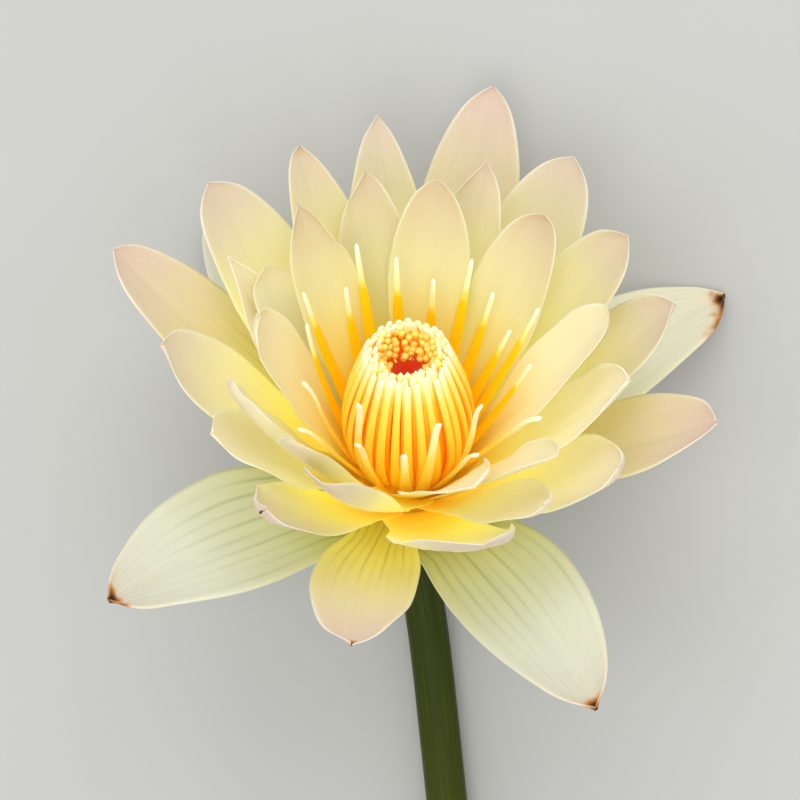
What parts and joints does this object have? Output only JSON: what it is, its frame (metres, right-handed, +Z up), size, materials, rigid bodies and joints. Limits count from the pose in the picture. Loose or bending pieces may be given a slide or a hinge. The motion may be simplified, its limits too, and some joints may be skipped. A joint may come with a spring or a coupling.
{
  "type": "water lily flower",
  "caption": "Yellow water lily flower with spreading sepals, whorled petals and a dome of golden stamens, lying on its cut stem.",
  "frame": {"origin": "on the table surface, below the middle of the flower's box", "axes": "+Z up from the table, +Y from the cut stem towards the bloom, +X to the right seen from above"},
  "size_m": [0.1128, 0.1442, 0.0933],
  "materials": {
    "sepal": "pale greenish white inside with darker green veins, thin cream edge, brown tip",
    "petal_outer": "pale yellow, green-tinged at the base, blush cream tip, satin waxy",
    "petal_second": "pale yellow turning to blush cream at the tip, satin waxy",
    "petal_third": "pale yellow turning to cream, satin waxy",
    "petal_fourth": "warm yellow turning to cream, satin waxy",
    "petal_inner": "warm yellow turning to cream, satin waxy",
    "stamen": "golden yellow with cream tip, orange between, satin",
    "stigma": "deep red orange, moist gloss",
    "stem": "dark olive green, smooth satin"
  },
  "bodies": {
    "root": {"sepal_1": "sepal", "sepal_2": "sepal", "sepal_3": "sepal", "sepal_4": "sepal", "petal_outer_1": "petal_outer", "petal_outer_2": "petal_outer", "petal_outer_3": "petal_outer", "petal_outer_4": "petal_outer", "petal_second_1": "petal_second", "petal_second_2": "petal_second", "petal_second_3": "petal_second", "petal_second_4": "petal_second", "petal_second_5": "petal_second", "petal_second_6": "petal_second", "petal_second_7": "petal_second", "petal_second_8": "petal_second", "petal_third_1": "petal_third", "petal_third_2": "petal_third", "petal_third_3": "petal_third", "petal_third_4": "petal_third", "petal_third_5": "petal_third", "petal_third_6": "petal_third", "petal_third_7": "petal_third", "petal_third_8": "petal_third", "petal_fourth_1": "petal_fourth", "petal_fourth_2": "petal_fourth", "petal_fourth_3": "petal_fourth", "petal_fourth_4": "petal_fourth", "petal_fourth_5": "petal_fourth", "petal_fourth_6": "petal_fourth", "petal_inner_1": "petal_inner", "petal_inner_2": "petal_inner", "petal_inner_3": "petal_inner", "petal_inner_4": "petal_inner", "petal_inner_5": "petal_inner", "stamen_1": "stamen", "stamen_2": "stamen", "stamen_3": "stamen", "stamen_4": "stamen", "stamen_5": "stamen", "stamen_6": "stamen", "stamen_7": "stamen", "stamen_8": "stamen", "stamen_9": "stamen", "stamen_10": "stamen", "stamen_11": "stamen", "stamen_12": "stamen", "stamen_13": "stamen", "stamen_14": "stamen", "stamen_15": "stamen", "stamen_16": "stamen", "stamen_17": "stamen", "stamen_18": "stamen", "stamen_19": "stamen", "stamen_20": "stamen", "stamen_dome": "stamen", "receptacle": "stigma", "stem": "stem"}
  },
  "joints": []
}
